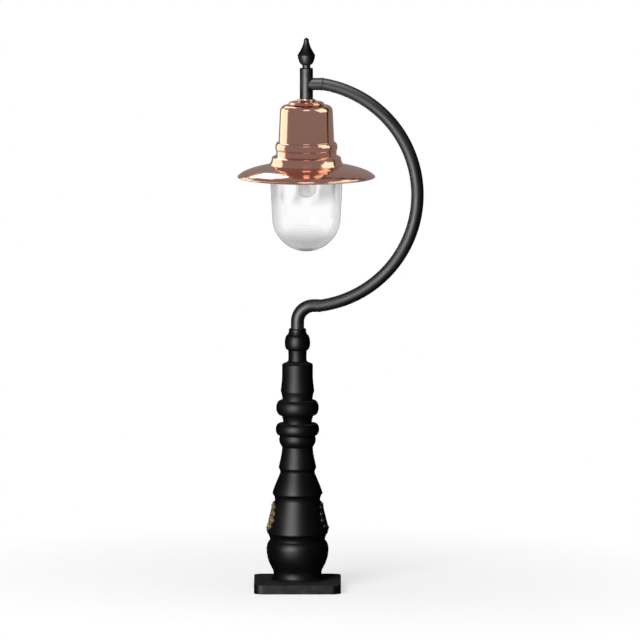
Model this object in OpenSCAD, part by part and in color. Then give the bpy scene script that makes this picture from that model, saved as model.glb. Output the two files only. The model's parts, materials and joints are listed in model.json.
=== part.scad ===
// Pedestal lantern: a cast pedestal carries a swan-neck tube, and a copper lamp head with a
// clear glass bowl hangs from it. Millimetres. The origin is the centre of the base plate's
// underside, +Z is up and the arm reaches out along +X.

/* [Base plate] */
// Side of the square base plate
plate_w = 250; // [240:1:320]
// Thickness of the base plate
plate_t = 25.5; // [16:0.5:40]
// Radius of the plate's four upright corners
plate_corner_r = 25; // [8:1:30]
// Distance from the plate's edges to each anchor hole's centre
anchor_inset = 25; // [18:1:30]
// Diameter of the anchor holes
anchor_hole_d = 14; // [10:0.5:18]

/* [Base casting] */
// Radius of the cove between the plate and the waist
foot_cove_r = 16; // [8:0.5:22]
// Radius of the waist above the plate
waist_r = 69; // [66:0.5:76]
// Height of the waist's upright part
waist_h = 4.5; // [2:0.5:12]
// Radius of the vase at its widest
vase_r = 89.3; // [84:0.1:96]
// Height from the waist to the vase's widest line
vase_h = 71; // [55:1:90]
// Radius of the arc that rounds the vase's shoulder
vase_shoulder_r = 36.7; // [30:0.1:50]
// Height of the vase's shoulder
vase_shoulder_h = 21.7; // [14:0.1:26]
// Radius of the groove above the vase
groove_r = 79.3; // [78:0.1:81]
// Height of the cove from the groove to the drum's lip
drum_cove_h = 22; // [14:0.5:30]
// Radius of the drum at its lower lip
drum_lip_r = 87.6; // [84:0.1:94]
// Radius of the drum at its top
drum_top_r = 65.2; // [63:0.1:70]
// Height of the drum's cone
drum_h = 91; // [88:1:110]
// Height of the cove from the drum to the skirt's lip
skirt_cove_h = 20; // [12:0.5:28]
// Radius of the skirt at its lower lip
skirt_lip_r = 72; // [71:0.1:78]
// Radius of the skirt at its top, where the shaft stands on it
skirt_top_r = 49.8; // [48:0.1:52]
// Height of the skirt's cone
skirt_h = 57; // [45:1:75]
// Height of the upright edge of each lip
lip_h = 2.5; // [1:0.1:4]
// Wall of the base casting
base_wall = 8.5; // [6:0.1:10]

/* [Access door] */
// Width of the door
door_w = 66; // [50:1:76]
// Height of the door along the drum's slope
door_len = 72; // [50:1:76]
// Radius of the door's corners
door_corner_r = 7; // [3:0.5:12]
// Thickness of the door
door_t = 4.5; // [3:0.1:5]
// Gap all round the door
door_gap = 1.2; // [0.8:0.1:2]
// Width of the ledge behind the door's edge
door_ledge = 5; // [3:0.5:8]
// Diameter of the hinge pin
hinge_pin_d = 4; // [3:0.1:5]
// Diameter of the hinge knuckles
knuckle_d = 8; // [7:0.1:10]
// Length of each knuckle
knuckle_len = 12; // [8:0.5:16]
// Height of the hinge pin's axis above the drum's surface
hinge_lift = 5.5; // [5:0.1:7]
// Diameter of the screw that holds the door shut
door_screw_d = 8; // [6:0.5:9]
// Diameter of that screw's head
door_screw_head_d = 15; // [12:0.5:18]

/* [Leaf ornaments] */
// Pitch of the leaf's lobes up the drum
lobe_pitch = 18.4; // [16:0.1:20]
// Radius of each lobe
lobe_r = 10; // [8.8:0.1:12]
// How far the leaf stands out from the drum
leaf_relief = 3; // [1.5:0.1:5]
// Gap between the leaf's back and the drum
leaf_gap = 0.3; // [0.2:0.05:0.6]
// Extra height of the leaf's veins
vein_relief = 1.4; // [0.6:0.1:3]
// Radius of the bead on each lobe
leaf_bead_r = 4.6; // [3:0.1:6]

/* [Shaft] */
// Radius of the lip at the shaft's foot
shaft_lip_r = 53.9; // [51:0.1:60]
// Height of the cove below that lip
shaft_cove_h = 14.3; // [8:0.1:20]
// Height of the tapered stretch above that lip
taper_h = 58; // [40:1:90]
// Radius at the top of the tapered stretch
taper_top_r = 44.3; // [42:0.1:48]
// Radius of the lower ring
lower_ring_r = 52.9; // [50:0.1:60]
// Height of the lower ring
lower_ring_h = 30.2; // [20:0.1:40]
// Radius of the middle ring
middle_ring_r = 62.5; // [56:0.1:72]
// Height of the middle ring
middle_ring_h = 38.4; // [26:0.1:50]
// Radius of the shaft's waist
shaft_waist_r = 41; // [39:0.1:44]
// Height of the shaft's waist
shaft_waist_h = 23; // [16:0.1:32]
// Radius of the upper ring
upper_ring_r = 61.3; // [54:0.1:70]
// Height of the upper ring
upper_ring_h = 44; // [30:0.1:56]
// Height of the cove above the upper ring
column_cove_h = 26; // [18:0.1:36]
// Radius of the lip at the column's foot
column_lip_r = 48.2; // [46:0.1:54]
// Radius of the column
column_r = 44.3; // [42:0.1:46]
// Height of the column, from its lip to its top edge
column_h = 73; // [60:1:160]
// Height of the column's sloping top
column_top_h = 14.8; // [10:0.1:18]
// Radius of the hollow inside the shaft
shaft_core_r = 31; // [26:0.5:34]

/* [Neck collar] */
// Radius of the collar's neck
collar_neck_r = 26.4; // [24.6:0.1:28]
// Height of the collar's neck
collar_neck_h = 28.5; // [18:0.1:45]
// Radius of the collar's ball
ball_r = 36.7; // [32:0.1:44]
// Height of the collar's ball
ball_h = 46.5; // [36:0.1:60]
// Radius of the ring that holds the clamp screws
clamp_ring_r = 27; // [25.5:0.1:30]
// Height of that ring
clamp_ring_h = 16; // [14:0.1:24]
// Depth of the spigot that joins each casting to the next
spigot_h = 26; // [18:1:34]

/* [Arm] */
// Outer diameter of the elbow and the drop tube
tube_d = 38; // [34:0.1:40]
// Outer diameter of the curved arm tube
arm_d = 36; // [30:0.1:37]
// Wall of the tubes
tube_wall = 3.2; // [2:0.1:4]
// Height of the elbow's upright leg above the collar
elbow_rise = 19.6; // [5:0.1:80]
// Radius of the elbow's bend at its centreline
elbow_bend_r = 46; // [36:0.5:80]
// Straight run from the bend to the arm
elbow_run = 20; // [10:0.5:40]
// Radius of the arm's curve at its centreline
arm_r = 323.4; // [300:0.1:380]
// Slope of the arm where it leaves the elbow, in degrees
arm_start_slope = 8; // [4:0.1:12]
// Slope of the arm where it meets its straight end, in degrees
arm_end_slope = 8.8; // [4:0.1:12]
// Straight end of the arm, up to the drop tube's axis
arm_stub = 44.8; // [30:0.1:70]
// Height of the drop tube above the arm
drop_above = 43; // [30:0.5:80]
// Height of the drop tube below the arm
drop_below = 42; // [30:0.5:80]

/* [Finial] */
// Thickness of the finial's flange
finial_flange_t = 3; // [2:0.1:6]
// Radius of the finial's stem
finial_stem_r = 11.5; // [9:0.1:14]
// Height of the finial's stem
finial_stem_h = 9; // [5:0.1:16]
// Radius of the finial's bowl
finial_r = 25.1; // [20:0.1:34]
// Height of the finial's bowl
finial_bowl_h = 28.5; // [20:0.1:40]
// Height of the finial's spear above the bowl
finial_spear_h = 50; // [35:0.5:80]
// Radius of the spear's tip
finial_tip_r = 7.2; // [4:0.1:9]

/* [Shade] */
// Thickness of the spun copper
copper_t = 1.5; // [1:0.1:2.5]
// Radius of the crown cap
crown_r = 51; // [40:0.1:56]
// Height of the crown cap
crown_h = 16.7; // [12:0.1:26]
// Radius of the shade's top corner
shoulder_r = 17; // [8:0.1:22]
// Radius of the chimney at its top
chimney_top_r = 75.8; // [74:0.1:79]
// Radius of the chimney at its foot
chimney_foot_r = 79.8; // [79:0.1:82]
// Height of the chimney
chimney_h = 106; // [96:1:150]
// Radius of the bead round the shade
shade_bead_r = 89.3; // [87.5:0.1:94]
// Height of that bead
shade_bead_h = 25; // [16:0.1:34]
// Radius of the shade below the bead
collar_band_r = 86.6; // [86:0.1:87]
// Height of the shade below the bead
collar_band_h = 14; // [10:0.1:24]
// Radius of the step below that
step_r = 99; // [96:0.1:102]
// Drop of that step
step_h = 5.3; // [3:0.1:10]
// Radius at the foot of the flared band, where the brim starts
flare_r = 105.5; // [103:0.1:112]
// Height of the flared band
flare_h = 21.6; // [14:0.1:30]
// Radius of the brim
brim_r = 197.6; // [160:0.1:230]
// Drop of the brim
brim_h = 34.1; // [20:0.1:50]
// Radius of the rolled edge of the brim
rolled_edge_r = 2.4; // [1.8:0.1:4]

/* [Lamp fittings] */
// Outer diameter of the hanger tube
hanger_d = 20; // [16:0.1:24]
// Bore of the hanger tube
hanger_bore_d = 13; // [10:0.1:14]
// Thickness of the gallery's plate
gallery_plate_t = 5; // [3:0.1:8]
// Height of the gallery's hub above its plate
gallery_hub_h = 18; // [12:0.1:30]
// Radius of the gallery's hub
gallery_hub_r = 24; // [20:0.1:30]
// Wall of the gallery's skirt
gallery_wall = 5; // [4:0.1:7]
// Height of the gallery's skirt
gallery_skirt_h = 27; // [18:0.5:28]
// Radius of a vent through the gallery
vent_r = 6; // [3:0.5:8]
// Thickness of the rubber seal
seal_t = 3; // [2:0.1:5]
// Radius of the lampholder
holder_r = 21; // [19:0.1:28]
// Length of the lampholder
holder_len = 46; // [44:0.5:50]

/* [Glass bowl] */
// Thickness of the glass
glass_t = 4; // [2.5:0.1:5]
// Outer radius of the bowl's neck
glass_neck_r = 70; // [62:0.1:74]
// Height of the bowl's neck
glass_neck_h = 29; // [26:0.1:36]
// Radius of the bowl at its shoulder
glass_r = 104.5; // [90:0.1:106]
// Height of the bowl's shoulder
glass_shoulder_h = 28; // [20:0.1:34]
// Height of the bowl's tapered wall
glass_wall_h = 117.6; // [80:0.1:150]
// Radius of the bowl's domed end
dome_r = 98; // [85:0.1:103]

/* [Light bulb] */
// Largest radius of the bulb
bulb_r = 30; // [24:0.1:40]
// Length of the bulb, with its cap
bulb_len = 105; // [95:0.5:115]
// Radius of the bulb's cap
cap_r = 13.2; // [12.5:0.05:13.4]
// Length of the bulb's cap
cap_len = 26; // [22:0.1:28]

/* [Flex] */
// Diameter of the flex from the terminal block to the lampholder
flex_d = 7; // [5:0.1:8]

/* [Fit] */
// Radial clearance where one piece turns or slides in another
run_gap = 0.1; // [0.05:0.01:0.3]
// Clearance between faces that rest on each other
seat_gap = 0.05; // [0:0.01:0.2]

/* [Hidden] */
$fn = 96;

// Heights of the base casting
waist_z = plate_t + foot_cove_r;
vase_foot_z = waist_z + waist_h;
vase_z = vase_foot_z + vase_h;
vase_top_z = vase_z + vase_shoulder_h;
groove_z = vase_top_z + lip_h;
drum_lip_z = groove_z + drum_cove_h;
drum_z = drum_lip_z + lip_h;
drum_top_z = drum_z + drum_h;
skirt_lip_z = drum_top_z + skirt_cove_h;
skirt_z = skirt_lip_z + lip_h;
shaft_z = skirt_z + skirt_h;

// Heights of the shaft
shaft_lip_z = shaft_z + shaft_cove_h;
taper_z = shaft_lip_z + lip_h;
lower_ring_z = taper_z + taper_h;
middle_ring_z = lower_ring_z + lower_ring_h;
shaft_waist_z = middle_ring_z + middle_ring_h;
upper_ring_z = shaft_waist_z + shaft_waist_h;
column_cove_z = upper_ring_z + upper_ring_h;
column_lip_z = column_cove_z + column_cove_h;
column_z = column_lip_z + lip_h;
column_top_z = column_z + column_h;
collar_z = column_top_z + column_top_h;

// Heights of the collar
collar_neck_top_z = collar_z + collar_neck_h;
ball_top_z = collar_neck_top_z + ball_h;
collar_top_z = ball_top_z + clamp_ring_h;
clamp_screw_rise = 5;
clamp_screw_z = ball_top_z + clamp_screw_rise;

// Fits between the castings
spigot_wall = 8;
shaft_spigot_r = shaft_core_r + spigot_wall;
neck_bore_r = tube_d / 2 + run_gap;
collar_spigot_wall = 4.6;
collar_spigot_r = neck_bore_r + collar_spigot_wall;
collar_ledge_t = 6;
leg_bottom_z = collar_z - spigot_h + collar_ledge_t + run_gap;
set_screw_r = 4;
skirt_screw_len = 12;
collar_screw_len = 18;
clamp_screw_r = 2.5;
screw_slack = 0.3;
bowl_gap = 0.4;
nut_h = 8;
nut_wall = 6;
nut_collar_wall = 9;
nut_collar_h = 1.5;
bush_h = 16;
seal_w = 8;
holder_flange_t = 6;
holder_flange_w = 9;
holder_screw_side = holder_r + 5;
holder_screw_r = 2;
flex_socket_h = 6;

// Centreline of the elbow and the arm, in the XZ plane
elbow_z = collar_top_z + elbow_rise;
arm_start = [elbow_bend_r + elbow_run, elbow_z + elbow_bend_r];
arm_start_angle = -90 + arm_start_slope;
arm_end_angle = 90 - arm_end_slope;
arm_centre = arm_start - arm_r * [cos(arm_start_angle), sin(arm_start_angle)];
arm_end = arm_centre + arm_r * [cos(arm_end_angle), sin(arm_end_angle)];
tube_bore_r = tube_d / 2 - tube_wall;
arm_bore_r = arm_d / 2 - tube_wall;
weld_r = 1.6;

// Axis and heights of the drop tube and the lamp head
head_x = arm_end[0] - arm_stub;
drop_top_z = arm_end[1] + drop_above;
drop_bottom_z = arm_end[1] - drop_below;
washer_t = 1.5;
finial_shoulder_z = finial_flange_t + finial_stem_h + finial_bowl_h;
crown_top_z = drop_bottom_z - washer_t;
shade_top_z = crown_top_z - crown_h;
shade_bead_z = shade_top_z - chimney_h;
collar_band_z = shade_bead_z - shade_bead_h;
step_z = collar_band_z - collar_band_h;
flare_z = step_z - step_h;
brim_z = flare_z - flare_h;
rim_z = brim_z - brim_h;
hanger_r = hanger_d / 2;
hanger_top_z = drop_bottom_z + bush_h;
gallery_lift = 4;
gallery_top_z = step_z + gallery_lift;
gallery_plate_z = gallery_top_z - gallery_plate_t;
gallery_r = collar_band_r - copper_t - 0.9;
holder_top_z = gallery_plate_z;
holder_bottom_z = holder_top_z - holder_len;

// Heights of the glass bowl
bowl_top_z = gallery_plate_z - seal_t;
glass_shoulder_z = bowl_top_z - glass_neck_h;
glass_wall_z = glass_shoulder_z - glass_shoulder_h;
dome_z = glass_wall_z - glass_wall_h;

// Heights of the bulb
cap_seat_depth = 16;
cap_top_z = holder_top_z - cap_seat_depth;
cap_bottom_z = cap_top_z - cap_len;
bulb_bottom_z = cap_top_z - bulb_len;
shell_bore_r = cap_r + bowl_gap;
shell_t = 1.2;
contact_r = 3.4;
contact_gap = 3;

// The drum's cone, and the door and ornaments that follow it
drum_tilt = atan((drum_lip_r - drum_top_r) / drum_h);
drum_mid_z = (drum_z + drum_top_z) / 2;
drum_mid_r = (drum_lip_r + drum_top_r) / 2;
core_waist_r = waist_r - base_wall;
core_belly_r = groove_r - base_wall;
core_top_r = drum_top_r - base_wall;
door_azimuth = 90;
hinge_foot = 1.8;
hinge_side = door_w / 2 + door_gap + hinge_foot;
hinge_out = sqrt(drum_mid_r * drum_mid_r - hinge_side * hinge_side) - drum_mid_r + hinge_lift;
knuckle_gap = 0.4;
door_screw_inset = 10.5;
door_screw_side = door_w / 2 - door_screw_inset;
door_screw_angle = asin(door_screw_side / drum_mid_r);
door_screw_lug_r = 9.5;
cut_in = 60;
cut_out = 12;
ledge_relief = 0.8;
door_boss_h = 1.2;
plate_y = -14;
gear_plate_t = 3;
gear_plate_w = 96;
gear_plate_drop = 14;
gear_plate_rise = 6;
gear_plate_z = [vase_z - gear_plate_drop, drum_mid_z + gear_plate_rise];
gear_lug_w = 12;
gear_lug_depth = 14;
gear_screw_r = 2.5;
gear_screw_end = 4;
gear_foot_w = 50;
gear_foot_depth = 34;
lug_rise = 20;
lug_z = vase_z + lug_rise;
earth_rise = 14;
earth_z = vase_z + earth_rise;
earth_r = 3;
earth_nut_r = earth_r + 3;
earth_nut_h = 4;
earth_washer_t = 1.2;
earth_reach = 14;
gland_reach = 20;
cable_y = plate_y + gland_reach;
gland_r = 8;
gland_bore_r = 5;
gland_nut_h = 4;
gland_nut_r = gland_r + 4;
gland_cap_r = gland_r + 3.4;
gland_cap_h = 14;
leaf_end = 1.88 * lobe_pitch;
leaf_screw_reach = leaf_end;
leaf_screw_r = 2;
leaf_boss_r = 5;
lobe_reach = [1.35, 1.65, 1.4, 0.9];
vein_w = 2.4;
block_size = [46, 20, 26];
block_drop = 14;
block_z = drum_lip_z - block_drop;
terminal_step = 5;
terminal_depth = 7;
terminal_hole_r = 2.8;
terminal_slot_w = 1.6;
flex_bend_r = 13;
flex_r = flex_d / 2;

function mix(a, b, t) = a + (b - a) * t;

// Points on a circle's arc from angle a0 to a1
function arc_points(centre, r, a0, a1, n = 10) =
    [for (i = [0:n]) let (a = mix(a0, a1, i / n)) centre + r * [cos(a), sin(a)]];

// Points on a cubic curve with two handles
function curve_points(p0, p1, p2, p3, n = 12) =
    [for (i = [0:n]) let (t = i / n, u = 1 - t)
        u * u * u * p0 + 3 * u * u * t * p1 + 3 * u * t * t * p2 + t * t * t * p3];

// A cove that starts upright at p0 and sweeps out to p1 above it
function cove_points(p0, p1) =
    let (h = p1[1] - p0[1])
    curve_points(p0, [p0[0], p0[1] + 0.45 * h], [mix(p0[0], p1[0], 0.45), p0[1] + 0.72 * h], p1, 8);

// A rounded ring from p0 up to p1 that swells to radius r at height z
function ring_points(p0, r, z, p1, n = 8) = concat(
    [for (i = [0:n]) let (a = 90 * i / n)
        [mix(p0[0], r, sin(a)), mix(z, p0[1], cos(a))]],
    [for (i = [1:n]) let (a = 90 * i / n)
        [mix(r, p1[0], 1 - cos(a)), mix(z, p1[1], sin(a))]]
);

// The outline moved sideways by t, to the left of its direction of travel
function inset_points(p, t) =
    [for (i = [0:len(p) - 1])
        let (
            a = p[max(i - 1, 0)],
            b = p[min(i + 1, len(p) - 1)],
            d = (b - a) / norm(b - a)
        )
        [max(p[i][0] - t * d[1], 0), p[i][1] + t * d[0]]];

function reversed(p) = [for (i = [len(p) - 1:-1:0]) p[i]];

module turned(points) rotate_extrude() polygon(points);

// A turned shell of thickness t inside the outline
module turned_shell(points, t) turned(concat(points, reversed(inset_points(points, t))));

module pipe(r_out, r_in, h) {
    difference() {
        cylinder(h = h, r = r_out);
        translate([0, 0, -1]) cylinder(h = h + 2, r = r_in);
    }
}

// Moves children to the middle of the drum's surface: x out of it, y along it, z up its slope
module on_drum(azimuth) {
    rotate([0, 0, azimuth])
        translate([drum_mid_r, 0, drum_mid_z])
            rotate([0, -drum_tilt, 0]) children();
}

// A flat shape drawn on the drum, from depth below its surface to height above it
module through_drum(depth, height) {
    translate([-depth, 0, 0]) rotate([90, 0, 90]) linear_extrude(depth + height) children();
}

// The drum's cone, made larger by out and run past both of its ends
module drum_cone(out) {
    past = 12;
    grow = past * tan(drum_tilt);
    extra = out / cos(drum_tilt);
    translate([0, 0, drum_z - past])
        cylinder(
            h = drum_h + 2 * past,
            r1 = drum_lip_r + grow + extra,
            r2 = drum_top_r - grow + extra
        );
}

module rounded_rectangle(w, h, r) {
    translate([-w / 2, -h / 2 + r]) square([w, h - 2 * r]);
    translate([-w / 2 + r, -h / 2]) square([w - 2 * r, h]);
    for (x = [-1, 1], y = [-1, 1])
        translate([x * (w / 2 - r), y * (h / 2 - r)]) circle(r);
}

// A socket set screw with its cup end at the origin, pointing out along +X
module set_screw(r, length) {
    rotate([0, 90, 0]) difference() {
        cylinder(h = length, r = r);
        translate([0, 0, length - 0.6 * r]) cylinder(h = r, r = 0.55 * r, $fn = 6);
    }
}

// Base casting

function base_profile() = concat(
    [[0, 0], [waist_r + foot_cove_r, 0], [waist_r + foot_cove_r, plate_t]],
    arc_points([waist_r + foot_cove_r, waist_z], foot_cove_r, -90, -180),
    curve_points(
        [waist_r, vase_foot_z],
        [waist_r, vase_foot_z + 0.2 * vase_h],
        [vase_r, vase_z - 0.6 * vase_h],
        [vase_r, vase_z],
        16
    ),
    arc_points(
        [vase_r - vase_shoulder_r, vase_z],
        vase_shoulder_r, 3, asin(vase_shoulder_h / vase_shoulder_r), 8
    ),
    cove_points([groove_r, groove_z], [drum_lip_r, drum_lip_z]),
    [[drum_lip_r, drum_z], [drum_top_r, drum_top_z]],
    cove_points([drum_top_r, drum_top_z + 1], [skirt_lip_r, skirt_lip_z]),
    curve_points(
        [skirt_lip_r, skirt_z],
        [mix(skirt_lip_r, skirt_top_r, 0.26), mix(skirt_z, shaft_z, 0.33)],
        [mix(skirt_lip_r, skirt_top_r, 0.72), mix(skirt_z, shaft_z, 0.72)],
        [skirt_top_r, shaft_z],
        8
    ),
    [[0, shaft_z]]
);

function drum_radius(z) = drum_lip_r - (z - drum_z) * tan(drum_tilt);

module base_core() {
    cone_start_z = drum_z + (drum_radius(drum_z) - base_wall / cos(drum_tilt) - core_belly_r)
        / tan(drum_tilt);
    turned([
        [0, -1],
        [core_waist_r, -1],
        [core_waist_r, vase_foot_z + 6],
        [core_belly_r, vase_z - 16],
        [core_belly_r, max(cone_start_z, drum_z)],
        [core_top_r, drum_top_z],
        [shaft_spigot_r + run_gap, shaft_z - spigot_h - 4],
        [shaft_spigot_r + run_gap, shaft_z + 1],
        [0, shaft_z + 1]
    ]);
}

// The hole in the drum, the ledge that the door rests on, and a deeper strip of that ledge next
// to the hinge, where the door's edge turns inward a little as it opens
module door_opening() {
    difference() {
        on_drum(door_azimuth)
            through_drum(cut_in, cut_out)
                rounded_rectangle(
                    door_w - 2 * door_ledge, door_len - 2 * door_ledge, door_corner_r - 1
                );
        on_drum(door_azimuth + door_screw_angle)
            through_drum(cut_in, cut_out)
                circle(door_screw_lug_r);
    }
    difference() {
        on_drum(door_azimuth)
            through_drum(cut_in, cut_out)
                rounded_rectangle(
                    door_w + 2 * door_gap, door_len + 2 * door_gap, door_corner_r + door_gap
                );
        drum_cone(-door_t - seat_gap);
    }
    difference() {
        on_drum(door_azimuth)
            through_drum(cut_in, cut_out)
                translate([-door_w / 2 - door_gap, -door_len / 2])
                    square([door_gap + door_ledge, door_len]);
        drum_cone(-door_t - ledge_relief);
    }
}

// Moves children to the middle of the door's hinge, with z along the pin
module at_hinge() {
    on_drum(door_azimuth) translate([hinge_out, -hinge_side, 0]) children();
}

// Fixed hinge knuckles, above and below the one on the door
module base_knuckles() {
    at_hinge()
        for (side = [-1, 1])
            translate([0, 0, side * (knuckle_len + knuckle_gap)])
                difference() {
                    union() {
                        cylinder(h = knuckle_len, r = knuckle_d / 2, center = true);
                        translate([-hinge_lift - 3, -knuckle_d / 2, -knuckle_len / 2])
                            cube([hinge_lift + 3, knuckle_d / 2, knuckle_len]);
                    }
                    cylinder(h = knuckle_len + 2, r = hinge_pin_d / 2 + run_gap, center = true);
                }
}

module leaf_screw_holes(azimuth, r) {
    for (end = [-1, 1])
        on_drum(azimuth) translate([0, 0, end * leaf_screw_reach])
            rotate([0, 90, 0]) cylinder(h = cut_in, r = r, center = true);
}

module door_screw_hole(r) {
    on_drum(door_azimuth + door_screw_angle) rotate([0, 90, 0]) cylinder(h = cut_in, r = r, center = true);
}

// Places children at the three set screws of a joint, all on its back
module at_set_screws(z) {
    for (a = [30, 90, 150])
        rotate([0, 0, a]) translate([0, 0, z]) children();
}

module base_casting() {
    color("#1c1c1c") union() {
        difference() {
            union() {
                linear_extrude(plate_t) rounded_rectangle(plate_w, plate_w, plate_corner_r);
                turned(base_profile());
            }
            base_core();
            for (x = [-1, 1], y = [-1, 1])
                translate([
                    x * (plate_w / 2 - anchor_inset), y * (plate_w / 2 - anchor_inset), -1
                ])
                    cylinder(h = plate_t + 2, r = anchor_hole_d / 2);
            door_opening();
            door_screw_hole(door_screw_d / 2 + screw_slack);
            leaf_screw_holes(0, leaf_screw_r);
            leaf_screw_holes(180, leaf_screw_r);
            at_set_screws(shaft_z - spigot_h / 2)
                rotate([0, 90, 0]) cylinder(h = skirt_lip_r, r = set_screw_r);
        }
        gear_lugs();
        base_knuckles();
    }
}

// Two lugs cast inside the base, to which the gear plate is screwed
module gear_lugs() {
    difference() {
        intersection() {
            for (side = [-1, 1])
                translate([
                    side > 0 ? gear_plate_w / 2 - gear_lug_w : -core_belly_r - 1,
                    plate_y - gear_plate_t - gear_lug_depth,
                    lug_z - gear_lug_w / 2
                ])
                    cube([core_belly_r + 1 - gear_plate_w / 2 + gear_lug_w, gear_lug_depth, gear_lug_w]);
            cylinder(h = drum_top_z, r = core_belly_r + 1);
        }
        at_gear_screws() rotate([90, 0, 0]) cylinder(h = gear_lug_depth - gear_screw_end, r = gear_screw_r);
    }
}

// Places children on the front of the lugs, at each gear plate screw
module at_gear_screws() {
    for (side = [-1, 1])
        translate([
            side * (gear_plate_w / 2 - gear_lug_w / 2), plate_y - gear_plate_t, lug_z
        ])
            children();
}

// Shaft

function shaft_outline() = concat(
    [
        [shaft_core_r, shaft_z - spigot_h],
        [shaft_spigot_r, shaft_z - spigot_h],
        [shaft_spigot_r, shaft_z],
        [skirt_top_r, shaft_z]
    ],
    cove_points([skirt_top_r, shaft_z + 1], [shaft_lip_r, shaft_lip_z]),
    curve_points(
        [shaft_lip_r, taper_z],
        [mix(shaft_lip_r, taper_top_r, 0.2), mix(taper_z, lower_ring_z, 0.22)],
        [taper_top_r, mix(taper_z, lower_ring_z, 0.62)],
        [taper_top_r, lower_ring_z],
        8
    ),
    curve_points(
        [taper_top_r, lower_ring_z],
        [mix(taper_top_r, lower_ring_r, 0.45), lower_ring_z + 0.2 * lower_ring_h],
        [lower_ring_r, lower_ring_z + 0.42 * lower_ring_h],
        [lower_ring_r, lower_ring_z + 0.75 * lower_ring_h],
        8
    ),
    [[lower_ring_r - 1.6, middle_ring_z], [lower_ring_r - 1.6, middle_ring_z + 3.5]],
    ring_points(
        [lower_ring_r - 0.6, middle_ring_z + 3.5],
        middle_ring_r,
        middle_ring_z + 0.54 * middle_ring_h,
        [middle_ring_r - 10, shaft_waist_z]
    ),
    cove_points([shaft_waist_r, shaft_waist_z], [shaft_waist_r + 6, upper_ring_z]),
    ring_points(
        [shaft_waist_r + 7, upper_ring_z],
        upper_ring_r,
        upper_ring_z + 0.52 * upper_ring_h,
        [column_r + 3.5, column_cove_z]
    ),
    cove_points([column_r - 0.8, column_cove_z], [column_lip_r, column_lip_z]),
    curve_points(
        [column_lip_r, column_z],
        [mix(column_lip_r, column_r, 0.5), mix(column_z, column_top_z, 0.2)],
        [column_r, mix(column_z, column_top_z, 0.4)],
        [column_r, mix(column_z, column_top_z, 0.65)],
        8
    ),
    curve_points(
        [column_r, column_top_z],
        [column_r, column_top_z + 0.5 * column_top_h],
        [collar_neck_r + 1, column_top_z + 0.4 * column_top_h],
        [collar_neck_r, collar_z],
        10
    ),
    [
        [collar_spigot_r + seat_gap, collar_z],
        [collar_spigot_r + seat_gap, collar_z - spigot_h - 4],
        [shaft_core_r, collar_z - spigot_h - 12]
    ]
);

module shaft() {
    color("#1f1f1f") difference() {
        turned(shaft_outline());
        at_set_screws(collar_z - spigot_h / 2 - column_top_h / 2)
            rotate([0, 90, 0]) cylinder(h = column_r + 5, r = set_screw_r);
    }
}

// Neck collar

function collar_outline() = concat(
    [
        [tube_bore_r, collar_z - spigot_h],
        [collar_spigot_r, collar_z - spigot_h],
        [collar_spigot_r, collar_z]
    ],
    curve_points(
        [collar_neck_r, collar_z],
        [collar_neck_r - 0.4, mix(collar_z, collar_neck_top_z, 0.4)],
        [collar_neck_r - 0.4, mix(collar_z, collar_neck_top_z, 0.7)],
        [collar_neck_r + 0.8, collar_neck_top_z],
        5
    ),
    ring_points(
        [collar_neck_r + 1.2, collar_neck_top_z],
        ball_r,
        collar_neck_top_z + 0.45 * ball_h,
        [clamp_ring_r - 1, ball_top_z]
    ),
    arc_points([clamp_ring_r - 1.5, ball_top_z + 3], 1.5, -60, 90, 6),
    [
        [clamp_ring_r - 2, ball_top_z + 5.5],
        [clamp_ring_r - 2, collar_top_z - 3.4],
        [clamp_ring_r - 3, collar_top_z - 1],
        [clamp_ring_r - 4, collar_top_z],
        [neck_bore_r, collar_top_z],
        [neck_bore_r, collar_z - spigot_h + collar_ledge_t],
        [tube_bore_r, collar_z - spigot_h + collar_ledge_t]
    ]
);

module neck_collar() {
    color("#242424") difference() {
        turned(collar_outline());
        at_set_screws(clamp_screw_z)
            rotate([0, 90, 0]) cylinder(h = ball_r, r = clamp_screw_r);
    }
}

module shaft_set_screws() {
    color("#3a3a3a") {
        at_set_screws(shaft_z - spigot_h / 2)
            translate([shaft_spigot_r + seat_gap, 0, 0]) set_screw(set_screw_r, skirt_screw_len);
        at_set_screws(collar_z - spigot_h / 2 - column_top_h / 2)
            translate([collar_spigot_r + seat_gap, 0, 0]) set_screw(set_screw_r, collar_screw_len);
    }
}

module neck_clamp_screws() {
    color("#3a3a3a")
        at_set_screws(clamp_screw_z)
            translate([neck_bore_r, 0, 0]) set_screw(clamp_screw_r, clamp_ring_r - neck_bore_r - 1);
}

// Leaf ornaments

// Half widths and heights of the leaf's lobes, from the foot of the leaf up
function lobe_spots() = [
    for (i = [0:3]) [lobe_pitch * lobe_reach[i], lobe_pitch * (i - 1.5)]
];

module leaf_outline() {
    spots = lobe_spots();
    polygon(concat(
        [for (p = spots) p],
        [[0, leaf_end]],
        [for (i = [3:-1:0]) [-spots[i][0], spots[i][1]]],
        [[0, -leaf_end]]
    ));
    for (p = spots, side = [-1, 1])
        translate([side * p[0], p[1]]) circle(lobe_r, $fn = 48);
    for (end = [-1, 1])
        translate([0, end * leaf_end]) circle(lobe_r, $fn = 48);
}

// Veins that fan out from the leaf's foot to its lobes, and a boss under each screw's head
module leaf_veins() {
    foot = [0, -leaf_end - 4];
    translate([-vein_w / 2, foot[1]]) square([vein_w, 2 * leaf_end]);
    for (end = [-1, 1])
        translate([0, end * leaf_screw_reach]) circle(leaf_boss_r, $fn = 32);
    for (p = lobe_spots(), side = [-1, 1]) {
        root = [0, mix(foot[1], p[1], 0.55)];
        tip = [side * p[0], p[1]];
        along = tip - root;
        translate(root) rotate([0, 0, atan2(along[1], along[0])])
            translate([0, -vein_w / 2]) square([norm(along), vein_w]);
    }
}

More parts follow.
